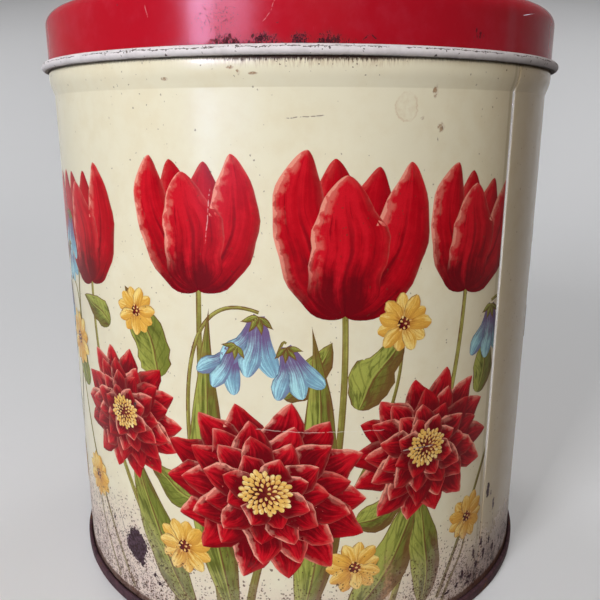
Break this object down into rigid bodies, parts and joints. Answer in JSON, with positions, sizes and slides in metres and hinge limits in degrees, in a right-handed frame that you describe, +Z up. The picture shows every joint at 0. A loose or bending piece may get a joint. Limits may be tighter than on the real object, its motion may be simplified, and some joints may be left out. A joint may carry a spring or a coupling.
{
  "type": "round tin box",
  "caption": "Round tinplate canister for papers and keepsakes, with a slip-on lid that lifts off, a curled lid rim, a locked side seam and a double-seamed base.",
  "frame": {"origin": "centre of the tin's underside, on the surface that it stands on", "axes": "+Z up along the tin's axis, -Y towards the front of the picture, +X to the right of the front"},
  "size_m": [0.1666, 0.1666, 0.1792],
  "materials": {
    "cream_lacquer": "aged cream lacquer on tinplate, satin, speckled and chipped",
    "red_lacquer": "glossy red lacquer on tinplate, scuffed",
    "rusted_tinplate": "tinplate under a dark worn coat, rusted",
    "white_lacquer": "worn white coat on the lid's curl",
    "bare_tinplate": "dull bare tinplate inside",
    "printed_flowers": "coloured inks printed on the cream lacquer"
  },
  "bodies": {
    "tin": {"body_wall": "cream_lacquer", "base_end": "rusted_tinplate"},
    "lid": {"lid": "red_lacquer"}
  },
  "joints": [
    {"name": "lid_lift", "type": "slide", "parent": "tin", "child": "lid", "axis": [0, 0, 1], "range_m": [0, 0.06]}
  ]
}
